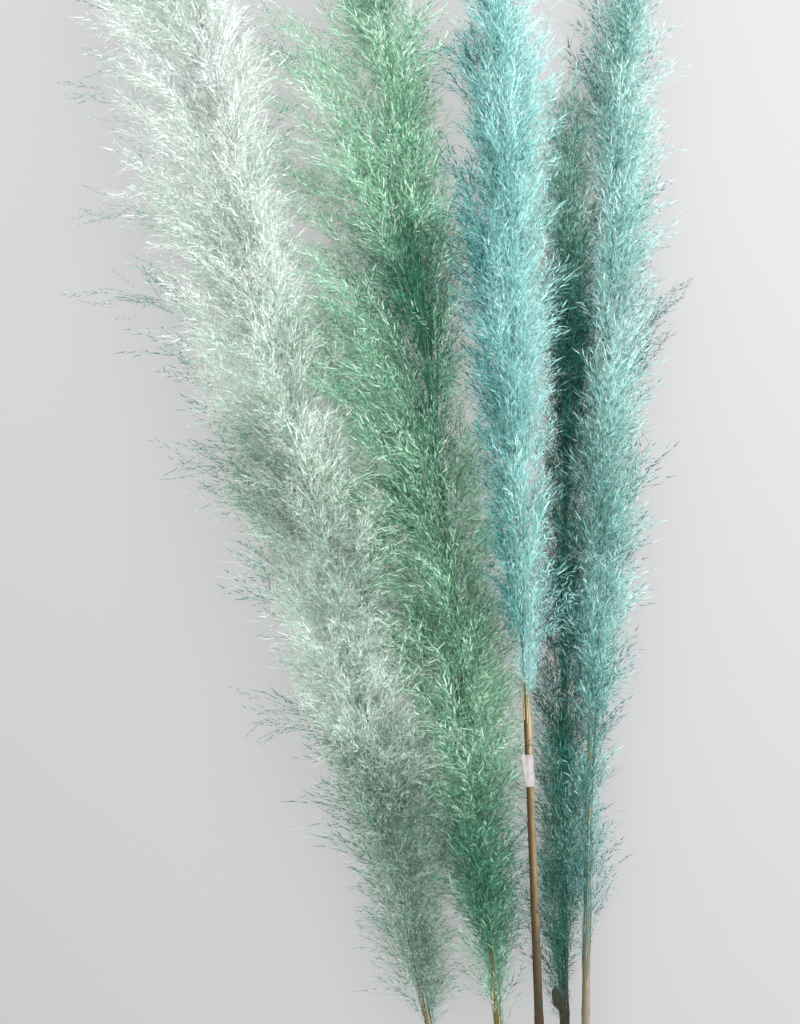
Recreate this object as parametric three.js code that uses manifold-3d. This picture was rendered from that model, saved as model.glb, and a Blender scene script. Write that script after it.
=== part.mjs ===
// A bundle of five dyed pampas grass stalks, lying on a flat surface with its plumes fanned out.
// Each stalk is a stem, which runs on through its plume as the rachis, and the plume around it.
// One stem carries a turn of white tape, and one still wears its dry leaf sheath.
//
// Millimetres. +Y runs from the cut ends towards the plume tips, +X is to the right seen from
// above, +Z is up and the surface is Z = 0. The origin is under the middle of the bundle.

import * as THREE from "three";
import { mergeVertices } from "three/addons/utils/BufferGeometryUtils.js";
import Module from "manifold-3d";

const wasm = await Module();
wasm.setup();

// ---------------------------------------------------------------- driving dimensions

const STEM_RADIUS = 4.0; // at the cut end
const NECK_RADIUS = 3.3; // where the plume starts
const TIP_RADIUS = 0.9; // of the rachis, at its end inside the plume
const RACHIS_SHARE = 0.9; // of the plume's length that the rachis runs through
const CLEARANCE = 0.4; // between two pieces that touch in the real bundle

const STEM_GAP = 0.45; // between neighbouring cut ends, side by side on the surface
const COLLAR_RADIUS = 7.8; // of the plume where it starts
const COLLAR_HEIGHT = 4.5; // below the plume's start, that its bore runs on

const TAPE_WIDTH = 21; // one turn of paper tape
const TAPE_THICKNESS = 0.7;
const TAPE_BELOW_PLUME = 32; // from the plume's start down to the tape's upper edge
const TAPE_FLAG = 5; // loose end of the tape, standing out to the side

const SHEATH_LENGTH = 215;
const SHEATH_THICKNESS = 0.8;
const SHEATH_BELOW_PLUME = 3;
const SHEATH_LIP_LENGTH = 20; // torn lip at the sheath's mouth
const SHEATH_LIP_REACH = 5.5;

const BEND_SPAN = 1000; // the height above its cut end where a stalk's bend is measured
const DROOP_POWER = 4; // the higher it is, the nearer its tip a stalk bends down
const STEM_SIDES = 12;
const PLUME_SIDES = 16;
const STEM_STEPS = 20; // sections along a whole stalk
const PLUME_STEPS = 20; // sections along a plume

// One entry for each stalk, from left to right.
//   cut          where the stem was cut, along Y
//   plumeStart   where the plume starts, along Y
//   tip          where the plume ends, along Y
//   lean         sideways run for each unit of length, negative to the left
//   bend         further sideways run BEND_SPAN above the cut end, building up with bendPower
//   climb        rise for each unit of length, before the tip droops
//   tipHeight    of the drooping tip above the surface
//   halfHeight   of the plume at its widest, above and below the rachis
//   left, right  how far the plume reaches from the rachis, at each eighth of its length
const STALKS = [
  {
    name: "mint", color: 0xcfe3d8,
    cut: 0, plumeStart: 354, tip: 1192,
    lean: -0.19, bend: -28.15, bendPower: 2,
    climb: 0.0487, tipHeight: 12, halfHeight: 40,
    left: [25, 51, 61, 67, 77, 77, 50],
    right: [34, 48, 42, 29, 25, 35, 33],
  },
  {
    name: "sage", color: 0x8dbda0,
    cut: 14, plumeStart: 350, tip: 1121,
    lean: -0.085, bend: -20.4, bendPower: 2,
    climb: 0.0452, tipHeight: 11, halfHeight: 36,
    left: [19, 17, 29, 51, 64, 64, 39],
    right: [20, 31, 33, 26, 26, 32, 28],
  },
  {
    name: "aqua", color: 0x6fc7bd,
    cut: 6, plumeStart: 552, tip: 1075,
    lean: -0.037, bend: -4.4, bendPower: 2,
    climb: 0.0973, tipHeight: 42, halfHeight: 25,
    left: [14, 18, 23, 28, 28, 23, 14],
    right: [16, 19, 24, 28, 31, 31, 26],
  },
  {
    name: "teal", color: 0x5f9d88,
    cut: 22, plumeStart: 370, tip: 961,
    lean: -0.018, bend: 19.3, bendPower: 2,
    climb: 0.0309, tipHeight: 9, halfHeight: 19,
    left: [16, 17, 17, 16, 15, 14, 15],
    right: [6.5, 9, 11, 12, 12, 13, 14],
  },
  {
    name: "lagoon", color: 0x79bfb4,
    cut: 9, plumeStart: 402, tip: 1082,
    lean: 0, bend: 29.15, bendPower: 3,
    climb: 0.0391, tipHeight: 10, halfHeight: 27,
    left: [5, 7, 8, 9, 10, 15, 19],
    right: [16, 25, 34, 38, 38, 36, 24],
  },
];

const STEM_FINISH = { color: 0xb08a4e, roughness: 0.55 };
const SHEATH_FINISH = { color: 0x4b4030, roughness: 0.8 };
const TAPE_FINISH = { color: 0xe6e2e2, roughness: 0.7 };
const PLUME_ROUGHNESS = 0.9;

// ---------------------------------------------------------------- the line of a stalk

// The cut ends lie side by side, in the order of the list.
function footX(stalk) {
  const place = STALKS.indexOf(stalk) - (STALKS.length - 1) / 2;
  return place * (2 * STEM_RADIUS + STEM_GAP);
}

// The middle of a stalk at a height y along the bundle.
function spine(stalk, y) {
  const [run, length] = [y - stalk.cut, stalk.tip - stalk.cut];
  const droop = STEM_RADIUS + stalk.climb * length - stalk.tipHeight;
  return {
    x: footX(stalk) + stalk.lean * y + stalk.bend * (run / BEND_SPAN) ** stalk.bendPower,
    z: STEM_RADIUS + stalk.climb * run - droop * (run / length) ** DROOP_POWER,
  };
}

const plumeLength = (stalk) => stalk.tip - stalk.plumeStart;
const rachisEnd = (stalk) => stalk.plumeStart + RACHIS_SHARE * plumeLength(stalk);

function stemRadius(stalk, y) {
  if (y < stalk.plumeStart) {
    const below = (y - stalk.cut) / (stalk.plumeStart - stalk.cut);
    return THREE.MathUtils.lerp(STEM_RADIUS, NECK_RADIUS, below);
  }
  const inside = (y - stalk.plumeStart) / (rachisEnd(stalk) - stalk.plumeStart);
  return THREE.MathUtils.lerp(NECK_RADIUS, TIP_RADIUS, Math.min(inside, 1));
}

// Evenly spaced heights from one end to the other, both included.
function steps(from, to, count) {
  return Array.from({ length: count + 1 }, (_, k) => THREE.MathUtils.lerp(from, to, k / count));
}

// The heights of a stem's sections: its two ends and the shared steps between them, without
// those that come within a quarter step of an end.
function stemHeights(stalk, from, to) {
  const shared = steps(stalk.cut, stalk.tip, STEM_STEPS);
  const apart = (shared[1] - shared[0]) / 4;
  return [from, ...shared.filter((y) => y > from + apart && y < to - apart), to];
}

// ---------------------------------------------------------------- solids

// Moves every vertex of a shape that stands around the Y axis by what place(x, y, z) returns.
function reshape(geometry, place) {
  const position = geometry.attributes.position;
  for (let k = 0; k < position.count; k += 1) {
    position.setXYZ(k, ...place(position.getX(k), position.getY(k), position.getZ(k)));
  }
  return geometry;
}

// A round shape about Y, from rows of [radius, y] that start and end on the axis or close on
// themselves, bent along the stalk.
function bentLathe(stalk, rows, sides) {
  const profile = rows.map(([radius, y]) => new THREE.Vector2(radius, y));
  return reshape(new THREE.LatheGeometry(profile, sides), (x, y, z) => {
    const middle = spine(stalk, y);
    return [middle.x + x, y, middle.z + z];
  });
}

function stemGeometry(stalk) {
  const heights = stemHeights(stalk, stalk.cut, rachisEnd(stalk));
  const wall = heights.map((y) => [stemRadius(stalk, y), y]);
  return bentLathe(stalk, [[0, stalk.cut], ...wall, [0, rachisEnd(stalk)]], STEM_SIDES);
}

// The room that the stem takes inside its plume.
function boreGeometry(stalk) {
  const from = stalk.plumeStart - COLLAR_HEIGHT;
  const to = rachisEnd(stalk) + CLEARANCE;
  const wall = stemHeights(stalk, from, to).map((y) => [stemRadius(stalk, y) + CLEARANCE, y]);
  return bentLathe(stalk, [[0, from], ...wall, [0, to]], STEM_SIDES);
}

// How far a plume reaches to one side, smoothly through the stalk's listed values.
function reachCurve(stalk, side) {
  const values = [COLLAR_RADIUS, ...stalk[side], 0];
  const shares = values.map((_, k) => k / (values.length - 1));
  const curve = new THREE.CubicInterpolant(shares, values, 1, new Float32Array(1));
  return (share) => Math.max(curve.evaluate(share)[0], 0);
}

// The plume as a closed body: its own reach to each side, round above, and pressed flat where
// it lies on the surface.
function plumeGeometry(stalk) {
  const left = reachCurve(stalk, "left");
  const right = reachCurve(stalk, "right");
  const heights = steps(stalk.plumeStart, stalk.tip, PLUME_STEPS);
  const share = (y) => (y - stalk.plumeStart) / plumeLength(stalk);
  const widest = Math.max(...heights.map((y) => left(share(y)) + right(share(y))));
  const rows = heights.slice(0, -1).map((y) => [1, y]);
  const unit = new THREE.LatheGeometry(
    [[0, stalk.plumeStart], ...rows, [0, stalk.tip]].map(([r, y]) => new THREE.Vector2(r, y)),
    PLUME_SIDES,
  );
  return reshape(unit, (x, y, z) => {
    const middle = spine(stalk, y);
    const [toLeft, toRight] = [left(share(y)), right(share(y))];
    const tall = Math.max(
      (stalk.halfHeight * (toLeft + toRight)) / widest,
      THREE.MathUtils.lerp(COLLAR_RADIUS, NECK_RADIUS, share(y)),
    );
    return [middle.x + x * (x < 0 ? toLeft : toRight), y, Math.max(middle.z + z * tall, 0)];
  });
}

// A ring of even wall around a stem, between two heights.
function ringGeometry(stalk, from, to, thickness) {
  const heights = stemHeights(stalk, from, to);
  const inner = heights.map((y) => [stemRadius(stalk, y) + CLEARANCE, y]);
  const outer = heights.map((y) => [stemRadius(stalk, y) + CLEARANCE + thickness, y]);
  return bentLathe(stalk, [...outer, ...inner.reverse(), outer[0]], STEM_SIDES);
}

// A thin tongue that stands out to the left of a ring's outside, from its wall to the given
// reach. It is widest at its top edge and narrows downwards.
function tongueGeometry(stalk, top, length, reach, thickness) {
  const root = stemRadius(stalk, top) + CLEARANCE + thickness / 2;
  const outline = new THREE.Shape([
    new THREE.Vector2(-root, top - length),
    new THREE.Vector2(-root, top),
    new THREE.Vector2(-root - reach, top - thickness),
    new THREE.Vector2(-root - reach * 0.7, top - length * 0.6),
  ]);
  const plate = new THREE.ExtrudeGeometry(outline, { depth: thickness, bevelEnabled: false });
  return reshape(plate, (x, y, z) => {
    const middle = spine(stalk, y);
    return [middle.x + x, y, middle.z + z - thickness / 2];
  });
}

// ---------------------------------------------------------------- joining and cutting

function toSolid(geometry) {
  const bare = geometry.clone();
  bare.deleteAttribute("normal");
  bare.deleteAttribute("uv");
  const merged = mergeVertices(bare, 1e-3);
  return new wasm.Manifold(
    new wasm.Mesh({
      numProp: 3,
      vertProperties: merged.attributes.position.array,
      triVerts: new Uint32Array(merged.index.array),
    }),
  );
}

function toGeometry(solid) {
  const mesh = solid.getMesh();
  return new THREE.BufferGeometry()
    .setAttribute("position", new THREE.BufferAttribute(mesh.vertProperties, 3))
    .setIndex(new THREE.BufferAttribute(mesh.triVerts, 1));
}

const cut = (body, tool) => toGeometry(toSolid(body).subtract(toSolid(tool)));
const join = (body, extra) => toGeometry(toSolid(body).add(toSolid(extra)));

// ---------------------------------------------------------------- the bundle

const bundle = new THREE.Group();

function addPiece(name, geometry, finish) {
  const material = new THREE.MeshStandardMaterial({ ...finish, metalness: 0 });
  const mesh = new THREE.Mesh(geometry, material);
  mesh.name = name;
  bundle.add(mesh);
}

for (const stalk of STALKS) {
  const plumeFinish = { color: stalk.color, roughness: PLUME_ROUGHNESS };
  addPiece(`${stalk.name}_stem`, stemGeometry(stalk), STEM_FINISH);
  addPiece(`${stalk.name}_plume`, cut(plumeGeometry(stalk), boreGeometry(stalk)), plumeFinish);
}

const aqua = STALKS.find((stalk) => stalk.name === "aqua");
const tapeTop = aqua.plumeStart - TAPE_BELOW_PLUME;
addPiece(
  "stem_tape",
  join(
    ringGeometry(aqua, tapeTop - TAPE_WIDTH, tapeTop, TAPE_THICKNESS),
    tongueGeometry(aqua, tapeTop, TAPE_WIDTH, TAPE_FLAG, TAPE_THICKNESS),
  ),
  TAPE_FINISH,
);

const teal = STALKS.find((stalk) => stalk.name === "teal");
const sheathTop = teal.plumeStart - SHEATH_BELOW_PLUME;
addPiece(
  "leaf_sheath",
  join(
    ringGeometry(teal, sheathTop - SHEATH_LENGTH, sheathTop, SHEATH_THICKNESS),
    tongueGeometry(teal, sheathTop, SHEATH_LIP_LENGTH, SHEATH_LIP_REACH, SHEATH_THICKNESS),
  ),
  SHEATH_FINISH,
);

// The origin goes under the middle of the whole bundle.
const extent = new THREE.Box3().setFromObject(bundle);
bundle.position.set(
  -(extent.min.x + extent.max.x) / 2,
  -(extent.min.y + extent.max.y) / 2,
  -extent.min.z,
);

export default bundle;
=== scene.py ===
# %% [markdown]
# # A bundle of dyed pampas grass
#
# Five cut stalks of pampas grass lie on a pale floor, with their plumes fanned out. Each stalk is
# a round cane that runs on through its plume as the rachis. The plume is thousands of spikelets,
# small dry husks with silky hairs, which sit on thin branches. Everything here is in metres:
# +Y runs from the cut ends towards the plume tips and +Z is up.
#
# The solids come from the CAD frame. They say where each cane runs and how far each plume
# reaches, so this script reads its places from them and then builds what they stand for.

# %% Load the frame
import math

import bmesh
import bpy
import numpy as np
from mathutils import Matrix, Vector


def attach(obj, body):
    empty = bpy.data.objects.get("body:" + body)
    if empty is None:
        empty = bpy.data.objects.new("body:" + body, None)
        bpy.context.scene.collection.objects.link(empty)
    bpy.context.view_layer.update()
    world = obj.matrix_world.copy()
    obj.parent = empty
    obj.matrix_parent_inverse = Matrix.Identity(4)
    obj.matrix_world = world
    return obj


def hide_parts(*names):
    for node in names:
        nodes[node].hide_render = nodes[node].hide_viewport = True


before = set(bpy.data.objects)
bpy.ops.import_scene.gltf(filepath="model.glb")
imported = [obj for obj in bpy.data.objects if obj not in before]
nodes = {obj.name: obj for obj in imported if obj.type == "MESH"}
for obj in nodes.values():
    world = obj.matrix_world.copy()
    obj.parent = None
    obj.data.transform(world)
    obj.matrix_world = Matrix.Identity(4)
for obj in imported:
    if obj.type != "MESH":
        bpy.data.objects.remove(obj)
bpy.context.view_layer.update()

print("nodes:", ", ".join(sorted(nodes)))

# %% [markdown]
# ## The stage
#
# A cut bunch with no vase lies down, so the camera looks straight down on it. A long lens from
# far above keeps the low stems and the high plumes at nearly one scale.
#
# Fine hair shows every shadow, and one strong lamp would draw each needle in black and white. So
# most of the light is the even glow of the world, and two weak, wide lamps only give it a side.
# The floor is a plain pale sheet, and more than half of its brightness is a glow of its own, a
# little stronger to the right and towards the tips. So the gaps between the hairs stay bright.

# %% Camera
VIEW_LENGTH = 0.6656  # of the floor that the tall side of the picture shows
VIEW_CENTRE = (0.014, 0.0813)
VIEW_HEIGHT = 2.6
PLUME_LEVEL = 0.045  # the height at which the scale is exact

camera_data = bpy.data.cameras.new("camera")
camera_data.sensor_fit = "VERTICAL"
camera_data.sensor_height = 36.0
camera_data.sensor_width = 36.0
camera_data.lens = 36.0 * (VIEW_HEIGHT - PLUME_LEVEL) / VIEW_LENGTH
camera_data.clip_end = 50.0
camera = bpy.data.objects.new("camera", camera_data)
camera.location = (*VIEW_CENTRE, VIEW_HEIGHT)
bpy.context.scene.collection.objects.link(camera)
bpy.context.scene.camera = camera
bpy.context.scene.view_settings.view_transform = "Standard"
print("lens", round(camera_data.lens, 1), "mm")

# %% Floor and lights
FLOOR_SIZE = 6.0
FLOOR_COLOUR = (0.113, 0.112, 0.115)
GLOW_SLOPE = (0.18, 0.16, 0.0)  # the glow grows this much per metre
GLOW_SPAN = 0.09  # of that slope, to each side of the middle
GLOW_LOW, GLOW_HIGH = 0.336, 0.516
WORLD_STRENGTH = 1.95


def plain_material(name, colour, roughness):
    material = bpy.data.materials.new(name)
    material.use_nodes = True
    shader = material.node_tree.nodes["Principled BSDF"]
    shader.inputs["Base Color"].default_value = (*colour, 1.0)
    shader.inputs["Roughness"].default_value = roughness
    return material, shader


def soft_light(name, place, aim, size, power):
    data = bpy.data.lights.new(name, "AREA")
    data.shape = "DISK"
    data.size = size
    data.energy = power
    lamp = bpy.data.objects.new(name, data)
    lamp.location = place
    lamp.rotation_euler = (Vector(aim) - Vector(place)).to_track_quat("-Z", "Y").to_euler()
    bpy.context.scene.collection.objects.link(lamp)


floor_mesh = bpy.data.meshes.new("floor")
bm = bmesh.new()
bmesh.ops.create_grid(bm, x_segments=1, y_segments=1, size=FLOOR_SIZE / 2)
bm.to_mesh(floor_mesh)
bm.free()
floor = bpy.data.objects.new("floor", floor_mesh)
bpy.context.scene.collection.objects.link(floor)
floor_material, floor_shader = plain_material("pale_floor", FLOOR_COLOUR, 0.9)
floor_shader.inputs["Specular IOR Level"].default_value = 0.2
floor_shader.inputs["Emission Strength"].default_value = 1.0
floor_tree = floor_material.node_tree
floor_place = floor_tree.nodes.new("ShaderNodeTexCoord")
slope = floor_tree.nodes.new("ShaderNodeVectorMath")
slope.operation = "DOT_PRODUCT"
slope.inputs[1].default_value = GLOW_SLOPE
glow = floor_tree.nodes.new("ShaderNodeMapRange")
glow.inputs["From Min"].default_value = -GLOW_SPAN
glow.inputs["From Max"].default_value = GLOW_SPAN
glow.inputs["To Min"].default_value = GLOW_LOW
glow.inputs["To Max"].default_value = GLOW_HIGH
floor_tree.links.new(floor_place.outputs["Object"], slope.inputs[0])
floor_tree.links.new(slope.outputs["Value"], glow.inputs["Value"])
floor_tree.links.new(glow.outputs["Result"], floor_shader.inputs["Emission Color"])
floor_mesh.materials.append(floor_material)

soft_light("window_light", (0.62, 0.62, 0.65), (0.05, 0.15, 0.0), 0.8, 8.0)
soft_light("fill_light", (-1.4, -0.3, 1.9), (0.0, 0.1, 0.0), 1.8, 7.0)
world = bpy.data.worlds.new("even_glow")
world.use_nodes = True
world.node_tree.nodes["Background"].inputs["Color"].default_value = (1.0, 1.0, 1.0, 1.0)
world.node_tree.nodes["Background"].inputs["Strength"].default_value = WORLD_STRENGTH
bpy.context.scene.world = world
print("floor, two soft lights and an even world")

# %% [markdown]
# ## Reading the stalks from the frame
#
# A CAD stem is a row of rings along Y, so the middle of each ring is a point on the cane's
# centre line, and half its width is the cane's radius there. A CAD plume is a row of rings too,
# and their edges say how far the plume reaches to the left, to the right and up. These few
# numbers are all that the branches need later on.

# %% Measure the stalks
STALKS = ("mint", "sage", "aqua", "teal", "lagoon")
PLUME_RINGS = 20


def points_of(name):
    mesh = nodes[name].data
    flat = np.empty(len(mesh.vertices) * 3)
    mesh.vertices.foreach_get("co", flat)
    return flat.reshape(-1, 3)


def ring_at(points, height):
    return points[np.abs(points[:, 1] - height) < 2e-5]


def measure_stalk(name):
    stem, plume = points_of(f"{name}_stem"), points_of(f"{name}_plume")
    heights = np.unique(stem[:, 1].round(5))
    rings = [ring_at(stem, y) for y in heights]
    low = np.array([ring.min(axis=0) for ring in rings])
    high = np.array([ring.max(axis=0) for ring in rings])
    tip = plume[plume[:, 1].argmax()]
    stalk = {
        "name": name,
        "y": np.append(heights, tip[1]),
        "x": np.append((low + high)[:, 0] / 2, tip[0]),
        "z": np.append((low + high)[:, 2] / 2, tip[2]),
        "radius": np.append((high - low)[:, 0] / 2, 0.0),
        "cut": heights[0],
        "rachis_end": heights[-1],
        "start": plume[:, 1].min(),
        "tip": tip[1],
    }
    shares = np.linspace(stalk["start"], stalk["tip"], PLUME_RINGS + 1)[:-1]
    outer = [ring_at(plume, y) for y in shares]
    middle = spine_at(stalk, shares)
    stalk["ring_y"] = np.append(shares, stalk["tip"])
    stalk["left"] = np.append(middle[:, 0] - [ring[:, 0].min() for ring in outer], 0.0)
    stalk["right"] = np.append([ring[:, 0].max() for ring in outer] - middle[:, 0], 0.0)
    stalk["tall"] = np.append([ring[:, 2].max() for ring in outer] - middle[:, 2], 0.0)
    return stalk


def spine_at(stalk, y):
    """Points on a stalk's centre line at these heights."""
    y = np.asarray(y, float)
    x, z = np.interp(y, stalk["y"], stalk["x"]), np.interp(y, stalk["y"], stalk["z"])
    return np.stack([x, y, z], axis=-1)


stalks = {name: measure_stalk(name) for name in STALKS}
for stalk in stalks.values():
    print(
        f"{stalk['name']}: plume {stalk['tip'] - stalk['start']:.3f} m long,",
        f"{(stalk['left'] + stalk['right']).max():.3f} m wide",
    )

# %% [markdown]
# ## Finishing helpers
#
# Every piece ends the same way: its mesh becomes an object at the origin, gets its material,
# rides on the one body and stands for its CAD node.

# %% Helpers for finished pieces
TRIANGLES = {}


def finish_piece(name, mesh, materials, node):
    piece = bpy.data.objects.new(name, mesh)
    bpy.context.scene.collection.objects.link(piece)
    for material in materials:
        mesh.materials.append(material)
    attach(piece, "root")
    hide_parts(node)
    TRIANGLES[name] = sum(len(p.vertices) - 2 for p in mesh.polygons)
    print(f"{name}: {TRIANGLES[name]} triangles")


def socket(tree, kind, name, direction, default=None):
    made = tree.interface.new_socket(name=name, in_out=direction, socket_type=kind)
    if default is not None:
        made.default_value = default


def put(tree, kind, **settings):
    node = tree.nodes.new(kind)
    for key, value in settings.items():
        setattr(node, key, value)
    return node


# %% [markdown]
# ## Cane
#
# The bare stem is a dry cane: tan to dark brown, finely streaked along its length, nearly matt,
# with small specks of dye. The streaks are noise stretched a long way along Y. A cane's left side
# is painted darker, as shade, and an attribute on its mesh says where. One cane also turns dark
# towards its foot, between two heights. The same group makes the dry leaf, with other colours, so
# it is built once.

# %% Shader group: dry fibre
# painted shade: the canes' colour is darker on their left side, away from the light
PAINTED_SHADE = "painted_shade"  # an attribute of the canes: 1 on the side that is darker


def dry_fibre_group():
    tree = bpy.data.node_groups.new("dry_fibre", "ShaderNodeTree")
    socket(tree, "NodeSocketColor", "Pale", "INPUT", (0.6, 0.45, 0.25, 1.0))
    socket(tree, "NodeSocketColor", "Dark", "INPUT", (0.25, 0.15, 0.06, 1.0))
    socket(tree, "NodeSocketColor", "Dye", "INPUT", (0.10, 0.30, 0.24, 1.0))
    socket(tree, "NodeSocketFloat", "Streaks", "INPUT", 0.5)
    socket(tree, "NodeSocketFloat", "Dye Amount", "INPUT", 0.3)
    socket(tree, "NodeSocketFloat", "Dark Below", "INPUT", -9.0)
    socket(tree, "NodeSocketFloat", "Pale Above", "INPUT", -8.0)
    socket(tree, "NodeSocketColor", "Color", "OUTPUT")
    socket(tree, "NodeSocketFloat", "Roughness", "OUTPUT")
    socket(tree, "NodeSocketFloat", "Height", "OUTPUT")
    ins, outs = put(tree, "NodeGroupInput"), put(tree, "NodeGroupOutput")
    place = put(tree, "ShaderNodeTexCoord")
    stretch = put(tree, "ShaderNodeMapping")
    stretch.inputs["Scale"].default_value = (900.0, 14.0, 900.0)
    fine = put(tree, "ShaderNodeTexNoise")
    fine.inputs["Scale"].default_value = 1.0
    fine.inputs["Detail"].default_value = 4.0
    broad = put(tree, "ShaderNodeTexNoise")
    broad.inputs["Scale"].default_value = 28.0
    broad.inputs["Detail"].default_value = 3.0
    specks = put(tree, "ShaderNodeTexNoise")
    specks.inputs["Scale"].default_value = 260.0
    specks.inputs["Detail"].default_value = 2.0
    links = tree.links
    links.new(place.outputs["Object"], stretch.inputs["Vector"])
    links.new(stretch.outputs["Vector"], fine.inputs["Vector"])
    links.new(place.outputs["Object"], broad.inputs["Vector"])
    links.new(place.outputs["Object"], specks.inputs["Vector"])
    blend = put(tree, "ShaderNodeMath", operation="MULTIPLY_ADD")
    links.new(fine.outputs["Fac"], blend.inputs[0])
    links.new(ins.outputs["Streaks"], blend.inputs[1])
    links.new(broad.outputs["Fac"], blend.inputs[2])
    spread = put(tree, "ShaderNodeMapRange")
    spread.inputs["From Min"].default_value = 0.35
    spread.inputs["From Max"].default_value = 0.95
    links.new(blend.outputs["Value"], spread.inputs["Value"])
    split = put(tree, "ShaderNodeSeparateXYZ")
    # the colour darkens towards the foot, between two heights
    towards_foot = put(tree, "ShaderNodeMapRange")
    towards_foot.inputs["To Min"].default_value = 0.04
    darker_to_foot = put(tree, "ShaderNodeMath", operation="MULTIPLY")
    links.new(place.outputs["Object"], split.inputs["Vector"])
    links.new(split.outputs["Y"], towards_foot.inputs["Value"])
    links.new(ins.outputs["Dark Below"], towards_foot.inputs["From Min"])
    links.new(ins.outputs["Pale Above"], towards_foot.inputs["From Max"])
    links.new(spread.outputs["Result"], darker_to_foot.inputs[0])
    links.new(towards_foot.outputs["Result"], darker_to_foot.inputs[1])
    # painted shade: this attribute darkens each cane's left side
    painted_shade = put(tree, "ShaderNodeAttribute", attribute_name=PAINTED_SHADE)
    unshaded = put(tree, "ShaderNodeMapRange")
    unshaded.inputs["To Min"].default_value, unshaded.inputs["To Max"].default_value = 1.0, 0.05
    links.new(painted_shade.outputs["Fac"], unshaded.inputs["Value"])
    after_shade = put(tree, "ShaderNodeMath", operation="MULTIPLY")
    links.new(darker_to_foot.outputs["Value"], after_shade.inputs[0])
    links.new(unshaded.outputs["Result"], after_shade.inputs[1])
    ground = put(tree, "ShaderNodeMix", data_type="RGBA")
    links.new(after_shade.outputs["Value"], ground.inputs["Factor"])
    links.new(ins.outputs["Dark"], ground.inputs["A"])
    links.new(ins.outputs["Pale"], ground.inputs["B"])
    speck_mask = put(tree, "ShaderNodeMapRange")
    speck_mask.inputs["From Min"].default_value = 0.60
    speck_mask.inputs["From Max"].default_value = 0.68
    links.new(specks.outputs["Fac"], speck_mask.inputs["Value"])
    amount = put(tree, "ShaderNodeMath", operation="MULTIPLY")
    links.new(speck_mask.outputs["Result"], amount.inputs[0])
    links.new(ins.outputs["Dye Amount"], amount.inputs[1])
    dyed = put(tree, "ShaderNodeMix", data_type="RGBA")
    links.new(amount.outputs["Value"], dyed.inputs["Factor"])
    links.new(ground.outputs["Result"], dyed.inputs["A"])
    links.new(ins.outputs["Dye"], dyed.inputs["B"])
    rough = put(tree, "ShaderNodeMapRange")
    rough.inputs["To Min"].default_value = 0.38
    rough.inputs["To Max"].default_value = 0.62
    links.new(fine.outputs["Fac"], rough.inputs["Value"])
    links.new(dyed.outputs["Result"], outs.inputs["Color"])
    links.new(rough.outputs["Result"], outs.inputs["Roughness"])
    links.new(fine.outputs["Fac"], outs.inputs["Height"])
    return tree


dry_fibre = dry_fibre_group()
print("group:", dry_fibre.name)


# %% Cane and dry leaf materials
def fibre_material(name, pale, dark, dye, streaks, dye_amount, bump=0.25, foot_heights=(-9.0, -8.0)):
    material, shader = plain_material(name, pale, 0.5)
    shader.inputs["Specular IOR Level"].default_value = 0.12
    tree = material.node_tree
    group = put(tree, "ShaderNodeGroup", node_tree=dry_fibre)
    group.inputs["Pale"].default_value = (*pale, 1.0)
    group.inputs["Dark"].default_value = (*dark, 1.0)
    group.inputs["Dye"].default_value = (*dye, 1.0)
    group.inputs["Streaks"].default_value = streaks
    group.inputs["Dye Amount"].default_value = dye_amount
    group.inputs["Dark Below"].default_value, group.inputs["Pale Above"].default_value = foot_heights
    relief = put(tree, "ShaderNodeBump")
    relief.inputs["Strength"].default_value = bump
    relief.inputs["Distance"].default_value = 0.0003
    tree.links.new(group.outputs["Color"], shader.inputs["Base Color"])
    tree.links.new(group.outputs["Roughness"], shader.inputs["Roughness"])
    tree.links.new(group.outputs["Height"], relief.inputs["Height"])
    tree.links.new(relief.outputs["Normal"], shader.inputs["Normal"])
    return material


FOOT_HEIGHTS = (-0.24, -0.07)  # the cane is dark below the first height and pale above the second
cane_materials = {
    "mint": fibre_material(
        "cane_russet", (0.20, 0.11, 0.05), (0.07, 0.035, 0.018), (0.12, 0.3, 0.22), 0.5, 0.4
    ),
    "sage": fibre_material(
        "cane_amber", (0.28, 0.15, 0.05), (0.09, 0.045, 0.018), (0.08, 0.26, 0.18), 0.5, 0.4
    ),
    "aqua": fibre_material(
        "cane_gold", (0.38, 0.28, 0.155), (0.028, 0.016, 0.006), (0.006, 0.05, 0.04), 0.6, 0.8, foot_heights=FOOT_HEIGHTS
    ),
    # painted shade on a brown cane: the teal cane is near black, much darker than the others
    "teal": fibre_material(
        "cane_brown_shaded", (0.035, 0.028, 0.016), (0.012, 0.010, 0.006), (0.01, 0.06, 0.05), 0.5, 0.6
    ),
    "lagoon": fibre_material(
        "cane_straw", (0.23, 0.19, 0.125), (0.09, 0.08, 0.05), (0.03, 0.16, 0.13), 0.5, 0.7
    ),
}
rachis_materials = {
    "mint": fibre_material(
        "rachis_pale", (0.42, 0.48, 0.28), (0.20, 0.25, 0.12), (0.3, 0.5, 0.36), 0.5, 0.4
    ),
    "sage": fibre_material(
        "rachis_olive", (0.17, 0.20, 0.08), (0.05, 0.08, 0.03), (0.05, 0.2, 0.1), 0.5, 0.4
    ),
    "aqua": fibre_material(
        "rachis_sea", (0.20, 0.34, 0.26), (0.10, 0.20, 0.15), (0.05, 0.3, 0.3), 0.5, 0.2
    ),
    "teal": fibre_material(
        "rachis_dark", (0.07, 0.15, 0.10), (0.03, 0.06, 0.04), (0.02, 0.15, 0.12), 0.5, 0.4
    ),
    "lagoon": fibre_material(
        "rachis_drab", (0.34, 0.34, 0.20), (0.14, 0.17, 0.09), (0.1, 0.4, 0.35), 0.5, 0.4
    ),
}
pith = fibre_material("pith", (0.66, 0.56, 0.38), (0.48, 0.36, 0.2), (0.2, 0.4, 0.35), 0.3, 0.2)
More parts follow.
